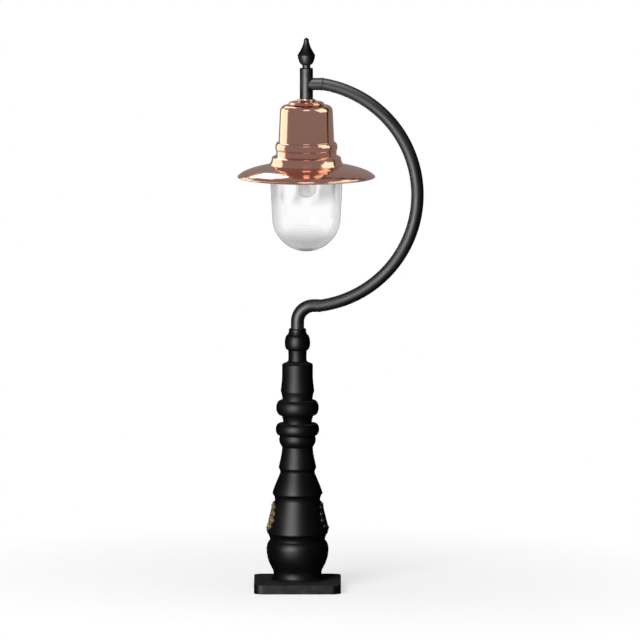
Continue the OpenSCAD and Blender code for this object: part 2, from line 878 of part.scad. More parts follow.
// A round bead whose flat foot is sunk halfway into the leaf
function bead_profile() = concat(
    [[0, -leaf_relief / 2], [leaf_bead_r, -leaf_relief / 2]],
    arc_points([0, 0], leaf_bead_r, 0, 90, 8)
);

module leaf(azimuth) {
    difference() {
        union() {
            difference() {
                intersection() {
                    on_drum(azimuth) through_drum(cut_in, cut_out) leaf_outline();
                    drum_cone(leaf_relief);
                }
                drum_cone(leaf_gap);
            }
            difference() {
                intersection() {
                    on_drum(azimuth) through_drum(cut_in, cut_out) leaf_veins();
                    drum_cone(leaf_relief + vein_relief);
                }
                drum_cone(leaf_relief / 2);
            }
            for (p = lobe_spots(), side = [-1, 1]) {
                z = drum_mid_z + p[1] * cos(drum_tilt);
                rotate([0, 0, azimuth + side * asin(p[0] / drum_radius(z))])
                    translate([drum_radius(z) + leaf_relief, 0, z])
                        rotate([0, 90 - drum_tilt, 0]) turned(bead_profile());
            }
        }
        leaf_screw_holes(azimuth, leaf_screw_r);
    }
}

module left_leaf() color("#b98d3c") leaf(180);

module right_leaf() color("#242424") leaf(0);

module leaf_screws() {
    color("#5a4a2a")
        for (azimuth = [0, 180], end = [-1, 1])
            on_drum(azimuth) translate([0, 0, end * leaf_screw_reach]) {
                translate([-6, 0, 0]) rotate([0, 90, 0])
                    cylinder(h = 6 + leaf_relief + vein_relief, r = leaf_screw_r);
                translate([leaf_relief + vein_relief, 0, 0]) rotate([0, 90, 0])
                    difference() {
                        turned([
                            [0, 0], [4.2, 0], [4, 1.2], [2.8, 2.2], [0, 2.6]
                        ]);
                        translate([-5, -0.5, 1.4]) cube([10, 1, 2]);
                    }
            }
}

// Access door

module access_door() {
    color("#1c1c1c") difference() {
        union() {
            difference() {
                intersection() {
                    on_drum(door_azimuth)
                        through_drum(cut_in, cut_out)
                            rounded_rectangle(door_w, door_len, door_corner_r);
                    drum_cone(0);
                }
                drum_cone(-door_t);
            }
            at_hinge() {
                cylinder(h = knuckle_len, r = knuckle_d / 2, center = true);
                translate([-knuckle_d / 2, 0, -knuckle_len / 2])
                    cube([knuckle_d / 2, knuckle_d + 3, knuckle_len]);
            }
            intersection() {
                on_drum(door_azimuth + door_screw_angle) translate([-door_t, 0, 0])
                    rotate([0, 90, 0]) cylinder(h = door_t + door_boss_h, r = door_screw_head_d / 2);
                drum_cone(door_boss_h + 0.3);
            }
        }
        at_hinge() cylinder(h = 3 * knuckle_len, r = hinge_pin_d / 2 + run_gap, center = true);
        door_screw_hole(door_screw_d / 2 + run_gap);
    }
}

module door_hinge_pin() {
    pin_len = 3 * knuckle_len + 2 * knuckle_gap;
    color("#8a8a8a")
        at_hinge() translate([0, 0, -pin_len / 2]) {
            cylinder(h = pin_len, r = hinge_pin_d / 2);
            translate([0, 0, pin_len]) turned([
                [0, 0], [hinge_pin_d / 2 + 1.2, 0], [hinge_pin_d / 2 + 0.8, 1.4], [0, 2]
            ]);
            translate([0, 0, -1.2]) cylinder(h = 1.2, r = hinge_pin_d / 2 + 0.9);
        }
}

module door_screw() {
    head_r = door_screw_head_d / 2 - 1;
    head_z = door_boss_h + seat_gap;
    color("#6a6a6a")
        on_drum(door_azimuth + door_screw_angle) rotate([0, 90, 0]) {
            translate([0, 0, -base_wall]) cylinder(h = base_wall + head_z, r = door_screw_d / 2);
            translate([0, 0, head_z]) difference() {
                turned([[0, 0], [head_r, 0], [head_r, 2.4], [head_r - 1.4, 3.8], [0, 4.2]]);
                translate([0, 0, 1.6]) cylinder(h = 4, r = 0.48 * head_r, $fn = 3);
            }
        }
}

// Gear plate and what it carries

module gear_plate() {
    bottom = gear_plate_z[0];
    top = gear_plate_z[1];
    color("#9a9a9a") difference() {
        union() {
            translate([0, plate_y, 0]) rotate([90, 0, 0]) linear_extrude(gear_plate_t)
                translate([0, (bottom + top) / 2])
                    rounded_rectangle(gear_plate_w, top - bottom, 6);
            translate([-gear_foot_w / 2, plate_y - 1, bottom])
                cube([gear_foot_w, gear_foot_depth + 1, gear_plate_t]);
        }
        at_gear_screws() rotate([90, 0, 0])
            cylinder(h = 20, r = gear_screw_r + 0.3, center = true);
        translate([0, plate_y, earth_z]) rotate([90, 0, 0])
            cylinder(h = 20, r = earth_r + 0.1, center = true);
        translate([0, cable_y, bottom - 1]) cylinder(h = gear_plate_t + 2, r = gland_r + 0.1);
    }
}

module gear_plate_screws() {
    color("#b8b8b8")
        at_gear_screws() {
            translate([0, gear_plate_t, 0]) rotate([-90, 0, 0]) difference() {
                turned([[0, 0], [5, 0], [5, 1.2], [3.6, 2.8], [0, 3.4]]);
                translate([-6, -0.6, 2]) cube([12, 1.2, 3]);
            }
            translate([0, gear_screw_end - gear_lug_depth, 0]) rotate([-90, 0, 0])
                cylinder(h = gear_lug_depth - gear_screw_end + gear_plate_t, r = gear_screw_r);
        }
}

module terminal_block() {
    w = block_size[0];
    d = block_size[1];
    h = block_size[2];
    way = w / 3;
    color("#e8e4d8") difference() {
        union() {
            translate([-w / 2, plate_y, block_z]) cube([w, d - terminal_depth, h]);
            translate([-w / 2, plate_y, block_z + terminal_step])
                cube([w, d, h - 2 * terminal_step]);
        }
        for (i = [-1:1])
            translate([i * way, plate_y + d - 4, block_z + h / 2]) rotate([-90, 0, 0])
                cylinder(h = 6, r = terminal_hole_r);
        for (i = [-0.5, 0.5], end = [0, 1])
            translate([
                i * way - terminal_slot_w / 2, plate_y - 1, block_z - 1 + end * (h - 4)
            ])
                cube([terminal_slot_w, d + 2, terminal_step + 1]);
    }
}

module earth_stud() {
    color("#c8a24a")
        translate([0, plate_y, earth_z]) rotate([-90, 0, 0]) {
            translate([0, 0, -gear_plate_t - 3]) cylinder(h = 3, r = earth_nut_r, $fn = 6);
            translate([0, 0, -gear_plate_t]) cylinder(h = gear_plate_t + earth_reach, r = earth_r);
            pipe(earth_r + 4, earth_r - 0.5, earth_washer_t);
            translate([0, 0, earth_washer_t]) cylinder(h = earth_nut_h, r = earth_nut_r, $fn = 6);
        }
}

// The inlet for the supply cable: a gland through the foot of the gear plate
module cable_gland() {
    color("#2c2c2c")
        translate([0, cable_y, gear_plate_z[0]]) difference() {
            union() {
                translate([0, 0, -gland_nut_h]) cylinder(h = gland_nut_h, r = gland_nut_r, $fn = 6);
                cylinder(h = gear_plate_t, r = gland_r);
                translate([0, 0, gear_plate_t]) turned([
                    [0, 0], [gland_cap_r, 0], [gland_cap_r, gland_cap_h - 8],
                    [gland_r + 1, gland_cap_h - 3], [gland_r - 2, gland_cap_h], [0, gland_cap_h]
                ]);
            }
            translate([0, 0, -gland_nut_h - 1])
                cylinder(h = gland_nut_h + gear_plate_t + gland_cap_h + 2, r = gland_bore_r);
        }
}

module flex_lower() {
    color("#3c3c40")
        translate([0, 0, block_z + block_size[2]])
            cylinder(h = leg_bottom_z - block_z - block_size[2], r = flex_r);
}

// Arm

// A bent tube in the XZ plane, from angle a0 to a1 about its centre. A core of 0 makes a bar
module bend(centre, bend_r, r, core, a0, a1) {
    translate([centre[0], 0, centre[1]]) rotate([90, 0, 0]) rotate([0, 0, a0])
        rotate_extrude(angle = a1 - a0) translate([bend_r, 0]) difference() {
            circle(r);
            if (core > 0) circle(core);
        }
}

// A level tube along X
module level_tube(x0, x1, z, r, core) {
    translate([x0, 0, z]) rotate([0, 90, 0]) difference() {
        cylinder(h = x1 - x0, r = r);
        if (core > 0) translate([0, 0, -1]) cylinder(h = x1 - x0 + 2, r = core);
    }
}

module upright_tube(x, z0, z1, r, core) {
    translate([x, 0, z0]) difference() {
        cylinder(h = z1 - z0, r = r);
        if (core > 0) translate([0, 0, -1]) cylinder(h = z1 - z0 + 2, r = core);
    }
}

// All that lies past a plane through point p, square to a line that slopes down by tilt
module past_plane(p, tilt) {
    translate([p[0], 0, p[1]]) rotate([0, tilt, 0]) translate([0, -tube_d, -tube_d])
        cube(2 * tube_d);
}

// From the collar up and round the elbow
module elbow_curve(r, core) {
    upright_tube(0, leg_bottom_z, elbow_z, r, core);
    bend([elbow_bend_r, elbow_z], elbow_bend_r, r, core, 90, 180);
}

// A bead of weld round a tube's end at point p
module weld_bead(p, tilt, r) {
    translate([p[0], 0, p[1]]) rotate([0, 90 + tilt, 0])
        rotate_extrude() translate([r, 0]) circle(weld_r, $fn = 16);
}

module elbow_tube() {
    color("#262626") {
        elbow_curve(tube_d / 2, tube_bore_r);
        difference() {
            level_tube(elbow_bend_r, arm_start[0] + arm_d / 2, arm_start[1], tube_d / 2, tube_bore_r);
            past_plane(arm_start, -arm_start_slope);
        }
    }
}

module arm_tube() {
    color("#262626") difference() {
        union() {
            bend(arm_centre, arm_r, arm_d / 2, arm_bore_r, arm_start_angle, arm_end_angle);
            difference() {
                level_tube(head_x, arm_end[0] + arm_d / 2, arm_end[1], arm_d / 2, arm_bore_r);
                past_plane(arm_end, arm_end_slope);
            }
            weld_bead(arm_end, arm_end_slope, arm_d / 2);
        }
        translate([head_x, 0, arm_end[1] - arm_d]) cylinder(h = 2 * arm_d, r = tube_d / 2);
    }
}

module drop_tube() {
    color("#262626") difference() {
        upright_tube(head_x, drop_bottom_z, drop_top_z, tube_d / 2, tube_bore_r);
        level_tube(head_x, head_x + tube_d, arm_end[1], arm_bore_r, 0);
    }
}

function finial_profile() = concat(
    [
        [0, -12], [tube_bore_r - seat_gap, -12], [tube_bore_r - seat_gap, 0],
        [tube_d / 2, 0], [tube_d / 2, finial_flange_t - 1], [tube_d / 2 - 1, finial_flange_t],
        [finial_stem_r + 1.2, finial_flange_t]
    ],
    arc_points([finial_stem_r + 1.2, finial_flange_t + 1.2], 1.2, -90, -180, 4),
    curve_points(
        [finial_stem_r, finial_flange_t + finial_stem_h],
        [mix(finial_stem_r, finial_r, 0.62), finial_flange_t + finial_stem_h + 0.1 * finial_bowl_h],
        [mix(finial_stem_r, finial_r, 0.82), finial_flange_t + finial_stem_h + 0.45 * finial_bowl_h],
        [finial_r, finial_flange_t + finial_stem_h + 0.93 * finial_bowl_h],
        12
    ),
    curve_points(
        [finial_r, finial_shoulder_z],
        [mix(finial_r, finial_tip_r, 0.08), finial_shoulder_z + 0.11 * finial_spear_h],
        [mix(finial_tip_r, finial_r, 0.12), finial_shoulder_z + 0.42 * finial_spear_h],
        [finial_tip_r, finial_shoulder_z + 0.87 * finial_spear_h],
        14
    ),
    [for (a = [10:10:90])
        [finial_tip_r * cos(a), finial_shoulder_z + (0.87 + 0.13 * sin(a)) * finial_spear_h]]
);

module finial() {
    color("#262626") translate([head_x, 0, drop_top_z]) turned(finial_profile());
}

module drop_tube_bush() {
    color("#8c8c8c")
        translate([head_x, 0, drop_bottom_z]) pipe(tube_bore_r - seat_gap, hanger_r, bush_h);
}

// The flex's centreline in the XZ plane, from the collar to the lampholder
function flex_route() =
    let (turn = [head_x + flex_bend_r, arm_end[1] - flex_bend_r])
    concat(
        [for (i = [0:3]) [0, mix(leg_bottom_z, elbow_z, i / 4)]],
        arc_points([elbow_bend_r, elbow_z], elbow_bend_r, 180, 90, 6),
        arc_points(arm_centre, arm_r, arm_start_angle + 1, arm_end_angle - 1, 40),
        arc_points(turn, flex_bend_r, 90, 180, 5),
        [for (i = [1:10]) [head_x, mix(turn[1], holder_top_z - flex_socket_h, i / 10)]]
    );

// A round cable along a route in the XZ plane
module cable(route, r, sides = 10) {
    last = len(route) - 1;
    points = [
        for (i = [0:last])
            let (
                a = route[max(i - 1, 0)],
                b = route[min(i + 1, last)],
                along = (b - a) / norm(b - a)
            )
            for (j = [0:sides - 1])
                let (across = r * cos(360 * j / sides))
                [
                    route[i][0] - across * along[1],
                    r * sin(360 * j / sides),
                    route[i][1] + across * along[0]
                ]
    ];
    sheath = [
        for (i = [0:last - 1], j = [0:sides - 1])
            let (k = (j + 1) % sides, p = i * sides, q = p + sides)
            each [[p + j, q + j, q + k], [p + j, q + k, p + k]]
    ];
    polyhedron(points, concat(
        sheath,
        [[for (j = [0:sides - 1]) j]],
        [[for (j = [sides - 1:-1:0]) last * sides + j]]
    ));
}

module flex_upper() color("#3c3c40") cable(flex_route(), flex_r);

// Lamp head. Everything here is drawn on the drop tube's axis

module on_head() translate([head_x, 0, 0]) children();

module hanger_tube() {
    color("#8c8c8c") on_head() translate([0, 0, gallery_plate_z])
        pipe(hanger_r, hanger_bore_d / 2, hanger_top_z - gallery_plate_z);
}

module top_washer() {
    color("#8c8c8c") on_head() translate([0, 0, crown_top_z])
        pipe(tube_d / 2 + 2, hanger_r + run_gap, washer_t);
}

module crown_cap() {
    edge = crown_h / 2;
    color("#c08a6c") on_head() difference() {
        turned(concat(
            [[0, shade_top_z], [crown_r - edge / 2, shade_top_z]],
            arc_points([crown_r - edge / 2, shade_top_z + edge / 2], edge / 2, -90, 80, 10),
            [
                [crown_r - edge / 2, shade_top_z + edge + 1],
                [mix(crown_r, tube_d / 2, 0.5), shade_top_z + edge + 2.5],
                [tube_d / 2 + 6, shade_top_z + edge + 4]
            ],
            arc_points([tube_d / 2 + 6, crown_top_z - 2], 2, 0, 90, 4),
            [[0, crown_top_z]]
        ));
        translate([0, 0, shade_top_z - 1]) cylinder(h = crown_h + 2, r = hanger_r + run_gap);
        turned([
            [0, shade_top_z - 1],
            [crown_r - edge / 2 - 2, shade_top_z - 1],
            [crown_r - edge / 2 - 2, shade_top_z + edge - 1],
            [tube_d / 2, shade_top_z + edge],
            [0, shade_top_z + edge]
        ]);
    }
}

// The outside of the shade, from the brim's edge up to the hole at its top
function shade_outline() = concat(
    curve_points(
        [brim_r - rolled_edge_r, rim_z],
        [brim_r - rolled_edge_r - 1, rim_z + 0.24 * brim_h],
        [mix(brim_r, flare_r, 0.3), rim_z + 0.66 * brim_h],
        [flare_r, brim_z],
        12
    ),
    curve_points(
        [flare_r, brim_z + 0.5],
        [flare_r - 2, mix(brim_z, flare_z, 0.3)],
        [step_r + 0.5, mix(brim_z, flare_z, 0.5)],
        [step_r, flare_z],
        8
    ),
    [
        [mix(step_r, collar_band_r, 0.6), step_z - 0.7],
        [collar_band_r, step_z],
        [collar_band_r, collar_band_z]
    ],
    ring_points(
        [collar_band_r - 0.4, collar_band_z + 0.4],
        shade_bead_r,
        collar_band_z + 0.42 * shade_bead_h,
        [chimney_foot_r + 0.5, shade_bead_z],
        6
    ),
    [[chimney_foot_r, shade_bead_z + 1], [chimney_top_r, shade_top_z - shoulder_r]],
    arc_points([chimney_top_r - shoulder_r, shade_top_z - shoulder_r], shoulder_r, 8, 90, 8),
    [[hanger_r + run_gap, shade_top_z]]
);

module shade() {
    color("#c08a6c") on_head() {
        turned_shell(shade_outline(), copper_t);
        translate([0, 0, rim_z]) rotate_extrude()
            translate([brim_r - rolled_edge_r, 0]) circle(rolled_edge_r);
    }
}

module crown_nut() {
    color("#b8b8b8") on_head() translate([0, 0, shade_top_z - copper_t - nut_h]) difference() {
        union() {
            cylinder(h = nut_h - nut_collar_h, r = hanger_r + nut_wall, $fn = 6);
            translate([0, 0, nut_h - nut_collar_h])
                cylinder(h = nut_collar_h, r = hanger_r + nut_collar_wall);
        }
        translate([0, 0, -1]) cylinder(h = nut_h + 2, r = hanger_r);
    }
}

module gallery_nut() {
    color("#b8b8b8") on_head() translate([0, 0, gallery_top_z + gallery_hub_h]) difference() {
        cylinder(h = nut_h, r = hanger_r + nut_wall, $fn = 6);
        translate([0, 0, -1]) cylinder(h = nut_h + 2, r = hanger_r);
    }
}

module gallery() {
    neck_bore = glass_neck_r + bowl_gap;
    hub_foot_r = gallery_hub_r + 6;
    color("#4a4238") on_head() difference() {
        turned([
            [hanger_r + run_gap, gallery_plate_z],
            [neck_bore, gallery_plate_z],
            [neck_bore, gallery_plate_z - gallery_skirt_h],
            [neck_bore + gallery_wall, gallery_plate_z - gallery_skirt_h],
            [neck_bore + gallery_wall, gallery_plate_z - 2],
            [gallery_r, gallery_plate_z],
            [gallery_r, gallery_top_z],
            [hub_foot_r, gallery_top_z],
            [gallery_hub_r, gallery_top_z + 6],
            [gallery_hub_r - 2, gallery_top_z + gallery_hub_h],
            [hanger_r + run_gap, gallery_top_z + gallery_hub_h]
        ]);
        at_holder_screws() translate([0, 0, gallery_plate_z - 1])
            cylinder(h = gallery_plate_t - 1, r = holder_screw_r);
        for (a = [45:90:315])
            rotate([0, 0, a])
                translate([mix(hub_foot_r, neck_bore, 0.5), 0, gallery_plate_z - 1])
                    cylinder(h = gallery_plate_t + 2, r = vent_r);
    }
}

module at_holder_screws() {
    for (side = [-1, 1])
        translate([side * holder_screw_side, 0, 0]) children();
}

module lampholder_body() {
    color("#f0eee6") on_head() difference() {
        turned([
            [0, holder_top_z],
            [holder_r + holder_flange_w, holder_top_z],
            [holder_r + holder_flange_w, holder_top_z - holder_flange_t],
            [holder_r + 1, holder_top_z - holder_flange_t],
            [holder_r, holder_top_z - holder_flange_t - 1],
            [holder_r, holder_bottom_z + 4],
            [holder_r - 2, holder_bottom_z],
            [0, holder_bottom_z]
        ]);
        translate([0, 0, holder_bottom_z - 1])
            cylinder(h = cap_top_z + contact_gap - holder_bottom_z + 1, r = shell_bore_r + shell_t);
        translate([0, 0, holder_top_z - flex_socket_h])
            cylinder(h = flex_socket_h + 1, r = flex_r + seat_gap);
        at_holder_screws() translate([0, 0, holder_top_z - holder_flange_t - 1])
            cylinder(h = holder_flange_t + 2, r = holder_screw_r + 0.2);
    }
}

module lampholder_thread() {
    color("#c8a24a") on_head() translate([0, 0, holder_bottom_z + 2])
        pipe(shell_bore_r + shell_t, shell_bore_r, cap_top_z - holder_bottom_z - 8);
}

module centre_contact() {
    color("#c8a24a") on_head() translate([0, 0, cap_top_z + seat_gap]) {
        cylinder(h = 1, r = contact_r);
        translate([-contact_r, -2, 0.5]) cube([2 * contact_r, 4, contact_gap - seat_gap - 0.5]);
    }
}

module lampholder_screws() {
    color("#b8b8b8") on_head() at_holder_screws() {
        translate([0, 0, holder_top_z - holder_flange_t])
            cylinder(h = holder_flange_t + gallery_plate_t - 2, r = holder_screw_r);
        translate([0, 0, holder_top_z - holder_flange_t]) mirror([0, 0, 1]) difference() {
            turned([[0, 0], [3.6, 0], [3.4, 1.4], [2.2, 2.4], [0, 2.6]]);
            translate([-4, -0.4, 1.6]) cube([8, 0.8, 2]);
        }
    }
}

module bowl_seal() {
    color("#2a2a2a") on_head() translate([0, 0, bowl_top_z])
        pipe(glass_neck_r, glass_neck_r - seal_w, seal_t);
}

// The outside of the bowl, from the bottom of its dome up to its neck
function bowl_outline() = concat(
    arc_points([0, dome_z], dome_r, -90, 0, 20),
    [[glass_r - 0.4, glass_wall_z - 8]],
    curve_points(
        [glass_r, glass_wall_z],
        [glass_r, mix(glass_wall_z, glass_shoulder_z, 0.7)],
        [glass_neck_r + 8, glass_shoulder_z - 2],
        [glass_neck_r, glass_shoulder_z],
        12
    ),
    [[glass_neck_r, bowl_top_z]]
);

module glass_bowl() {
    color([0.8, 0.9, 0.9, 0.4]) on_head() turned_shell(bowl_outline(), glass_t);
}

// Bulb

module bulb_cap() {
    ridges = 5;
    pitch = (cap_len - 7) / ridges;
    color("#c9b27c") on_head() turned(concat(
        [[0, cap_bottom_z], [cap_r, cap_bottom_z], [cap_r, cap_bottom_z + 3]],
        [for (i = [0:8 * ridges])
            [cap_r - 0.45 + 0.45 * cos(45 * i), cap_bottom_z + 3 + pitch * i / 8]],
        [
            [cap_r - 1, cap_top_z - 3.5], [contact_r + 2, cap_top_z - 1.2],
            [contact_r, cap_top_z - 1], [contact_r - 0.4, cap_top_z], [0, cap_top_z]
        ]
    ));
}

// The outside of the bulb's glass, from its bottom up to its neck
function bulb_outline() = concat(
    arc_points([0, bulb_bottom_z + bulb_r], bulb_r, -90, 15, 14),
    curve_points(
        [bulb_r * cos(22), bulb_bottom_z + bulb_r * (1 + sin(22))],
        [mix(bulb_r, cap_r, 0.45), bulb_bottom_z + 1.9 * bulb_r],
        [cap_r, cap_bottom_z - 14],
        [cap_r - 0.6, cap_bottom_z],
        8
    )
);

module bulb_glass() {
    color([0.9, 0.9, 0.9, 0.5]) on_head() turned_shell(bulb_outline(), 1);
}

module bulb_stem() {
    color([0.9, 0.9, 0.85]) on_head() {
        turned([
            [0, cap_bottom_z], [cap_r - 3, cap_bottom_z], [cap_r - 5, cap_bottom_z - 4],
            [4, cap_bottom_z - 12], [3, cap_bottom_z - 26], [0, cap_bottom_z - 28]
        ]);
        for (side = [-1, 1])
            translate([side * 1.6, 0, cap_bottom_z - 25]) rotate([0, 180 - side * 14, 0])
                cylinder(h = 26, r = 0.6);
    }
}

base_casting();
shaft();
neck_collar();
shaft_set_screws();
neck_clamp_screws();
left_leaf();
right_leaf();
leaf_screws();
access_door();
door_hinge_pin();
door_screw();
gear_plate();
gear_plate_screws();
terminal_block();
earth_stud();
cable_gland();
flex_lower();
elbow_tube();
arm_tube();
drop_tube();
finial();
drop_tube_bush();
flex_upper();
hanger_tube();
top_washer();
crown_cap();
shade();
crown_nut();
gallery();
gallery_nut();
lampholder_body();
lampholder_thread();
centre_contact();
lampholder_screws();
bowl_seal();
glass_bowl();
bulb_cap();
bulb_glass();
bulb_stem();
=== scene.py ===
"""Pedestal lantern: the looks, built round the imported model. Metres, +Z up, the arm reaches along +X."""

import json
import math

import bpy
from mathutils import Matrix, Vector

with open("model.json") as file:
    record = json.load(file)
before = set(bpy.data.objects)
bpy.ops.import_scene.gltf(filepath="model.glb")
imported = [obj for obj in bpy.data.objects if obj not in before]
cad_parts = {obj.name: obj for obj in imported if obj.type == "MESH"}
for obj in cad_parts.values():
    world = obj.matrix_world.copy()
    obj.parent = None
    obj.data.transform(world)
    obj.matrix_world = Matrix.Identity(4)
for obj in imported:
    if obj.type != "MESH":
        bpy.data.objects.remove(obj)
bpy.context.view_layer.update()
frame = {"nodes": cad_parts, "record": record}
nodes = frame["nodes"]
subparts = frame["record"]["subparts"]
bpy.context.scene.view_settings.view_transform = "Standard"

# Camera

# Side of the square picture, and where it shows the pedestal's axis and the ground
IMAGE_PX = 640
AXIS_PX = 297.47
GROUND_PX = 589.0
M_PER_PX = 0.002872
SENSOR_MM = 36.0
CAMERA_DISTANCE = 40.0
CAMERA_ELEVATION = math.radians(7.0)
# How far off the camera still sees
CAMERA_REACH = 100


def make_camera():
    """A very long lens, aimed at the lantern's middle from a little above it."""
    aside = (IMAGE_PX / 2 - AXIS_PX) * M_PER_PX
    height = (GROUND_PX - IMAGE_PX / 2) * M_PER_PX / math.cos(CAMERA_ELEVATION)
    back = Vector((0, -math.cos(CAMERA_ELEVATION), math.sin(CAMERA_ELEVATION)))
    data = bpy.data.cameras.new("camera")
    data.sensor_width = SENSOR_MM
    data.lens = SENSOR_MM * CAMERA_DISTANCE / (IMAGE_PX * M_PER_PX)
    data.clip_end = CAMERA_REACH
    camera = bpy.data.objects.new("camera", data)
    bpy.context.scene.collection.objects.link(camera)
    camera.location = Vector((aside, 0, height)) + back * CAMERA_DISTANCE
    camera.rotation_euler = (-back).to_track_quat("-Z", "Y").to_euler()
    bpy.context.scene.camera = camera


make_camera()


# Node helpers

class Shader:
    """A material's node tree, with short ways to add nodes."""

    def __init__(self, name):
        self.material = bpy.data.materials.new(name)
        self.material.use_nodes = True
        self.tree = self.material.node_tree
        self.bsdf = self.tree.nodes["Principled BSDF"]
        self.position = self.add("ShaderNodeTexCoord").outputs["Object"]

    def add(self, kind, **values):
        node = self.tree.nodes.new(kind)
        for key, value in values.items():
            setattr(node, key, value)
        return node

    def link(self, a, b):
        self.tree.links.new(a, b)

    def noise(self, scale, detail=4.0, stretch=None, shift=(0.0, 0.0, 0.0)):
        """Noise with so many waves to a metre, which stretch scales along each axis and shift moves."""
        node = self.add("ShaderNodeTexNoise")
        node.inputs["Scale"].default_value = scale
        node.inputs["Detail"].default_value = detail
        node.inputs["Roughness"].default_value = 0.55
        source = self.position
        if stretch:
            mapping = self.add("ShaderNodeMapping")
            mapping.inputs["Scale"].default_value = stretch
            mapping.inputs["Location"].default_value = shift
            self.link(source, mapping.inputs["Vector"])
            source = mapping.outputs["Vector"]
        self.link(source, node.inputs["Vector"])
        return node.outputs["Fac"]

    def spread(self, value, low, high, at_low=0.0, at_high=1.0):
        """Runs from at_low to at_high while the value runs from low to high, and stays level beyond."""
        node = self.add("ShaderNodeMapRange")
        self.link(value, node.inputs["Value"])
        limits = {"From Min": low, "From Max": high, "To Min": at_low, "To Max": at_high}
        for key, number in limits.items():
            node.inputs[key].default_value = number
        return node.outputs["Result"]

    def mix(self, factor, a, b):
        """Colour a where factor is 0 and b where it is 1."""
        node = self.add("ShaderNodeMix", data_type="RGBA")
        self.link(factor, node.inputs["Factor"])
        for key, colour in (("A", a), ("B", b)):
            socket = [s for s in node.inputs if s.name == key and s.type == "RGBA"][0]
            if isinstance(colour, tuple):
                socket.default_value = (*colour, 1)
            else:
                self.link(colour, socket)
        return [s for s in node.outputs if s.type == "RGBA"][0]

    def maths(self, operation, a, b):
        node = self.add("ShaderNodeMath", operation=operation)
        for socket, value in zip(node.inputs, (a, b)):
            if isinstance(value, (int, float)):
                socket.default_value = value
            else:
                self.link(value, socket)
        return node.outputs["Value"]

    def times(self, a, b):
        return self.maths("MULTIPLY", a, b)

    def larger(self, a, b):
        return self.maths("MAXIMUM", a, b)

    def height_of(self, vector):
        """The Z of a vector socket."""
        axes = self.add("ShaderNodeSeparateXYZ")
        self.link(vector, axes.inputs["Vector"])
        return axes.outputs["Z"]

    def bump(self, height, distance, strength, normal=None):
        node = self.add("ShaderNodeBump")
        node.inputs["Strength"].default_value = strength
        node.inputs["Distance"].default_value = distance
        self.link(height, node.inputs["Height"])
        if normal:
            self.link(normal, node.inputs["Normal"])
        return node.outputs["Normal"]

    def set(self, **values):
        """Gives the shader's sockets a number, a colour or another node's output."""
        for key, value in values.items():
            socket = self.bsdf.inputs[key.replace("_", " ")]
            if isinstance(value, (int, float)):
                socket.default_value = value
            elif isinstance(value, tuple):
                socket.default_value = (*value, 1)
            else:
                self.link(value, socket)


# Materials

# Between these a noise mostly lies
NOISE = (0.3, 0.7)
# Pointiness at which paint starts to wear off an edge, and at which it is thinnest
WORN = (0.52, 0.6)
# Pointiness at which a hollow is full of dark paint, and at which it ends
HOLLOW = (0.42, 0.5)
# How far up a face looks where dust starts to settle, and where it covers the face
DUSTY = (0.7, 0.95)
DUST_ROUGHNESS = 0.95
BLACK_PAINT = ((0.0015, 0.0015, 0.0016), (0.0028, 0.0028, 0.003))
DUSTY_PAINT = (0.006, 0.006, 0.0055)
WORN_PAINT = (0.045, 0.043, 0.04)
COPPER = ((0.83, 0.45, 0.355), (0.77, 0.41, 0.32))
DULL_COPPER = (0.55, 0.28, 0.21)
GOLD_PAINT = (0.31, 0.21, 0.09)
DARK_HOLLOW = (0.065, 0.045, 0.025)
GLASS_IOR = 1.47
# How slanting a view of the glass starts its painted reflection, a darker colour, and where that ends
SLANT = (0.72, 0.95)
# Heights between which the bowl's wall carries the least painted reflection
CLEAR_BAND = (1.036, 1.1)
# Where the painted reflection streaks fall round the bowl
STREAKS = (1.9, 0.8, 0.0)


def pointiness(s):
    """About 0.5 on smooth faces, more on outer edges and less in hollows."""
    return s.add("ShaderNodeNewGeometry").outputs["Pointiness"]


def dust(s):
    """1 on faces that look straight up, where dust dulls the gloss, and 0 on steep ones."""
    return s.spread(s.height_of(s.add("ShaderNodeNewGeometry").outputs["Normal"]), *DUSTY)


def black_paint(name, grain, grain_depth, roughness, specular):
    """Satin black paint, over cast iron or over tube."""
    s = Shader(name)
    settled = dust(s)
    cloud = s.noise(9.0, detail=5)
    tone = s.mix(s.spread(cloud, 0.35, 0.65), *BLACK_PAINT)
    tone = s.mix(s.times(settled, s.spread(cloud, *NOISE, 0.4, 1.0)), tone, DUSTY_PAINT)
    patches = s.spread(s.noise(60.0), 0.45, 0.7, 0.0, 0.5)
    worn = s.times(s.spread(pointiness(s), *WORN), patches)
    s.set(Base_Color=s.mix(worn, tone, WORN_PAINT))
    gloss = s.spread(cloud, *NOISE, roughness - 0.05, roughness + 0.07)
    s.set(Roughness=s.larger(gloss, s.times(settled, DUST_ROUGHNESS)))
    coarse = s.bump(s.noise(grain / 6, detail=3), grain_depth * 2, 0.4)
    s.set(Normal=s.bump(s.noise(grain, detail=3), grain_depth, 0.6, coarse))
    s.bsdf.inputs["Specular IOR Level"].default_value = specular
    return s.material


def copper(name):
    """Polished spun copper, with faint turning lines round the lamp's axis and a few dull spots."""
    s = Shader(name)
    lines = s.noise(1400.0, detail=2, stretch=(0.01, 0.01, 1.0))
    tone = s.mix(s.spread(s.noise(7.0, detail=5), 0.35, 0.68), *COPPER)
    spots = s.spread(s.noise(34.0, detail=6), 0.62, 0.8, 0.0, 0.3)
    s.set(Base_Color=s.mix(spots, tone, DULL_COPPER), Metallic=1.0)
    s.set(Roughness=s.spread(lines, *NOISE, 0.08, 0.15))
    waves = s.bump(s.noise(10.0, detail=2), 0.0003, 0.12)
    s.set(Normal=s.bump(lines, 0.00001, 0.35, waves))
    return s.material


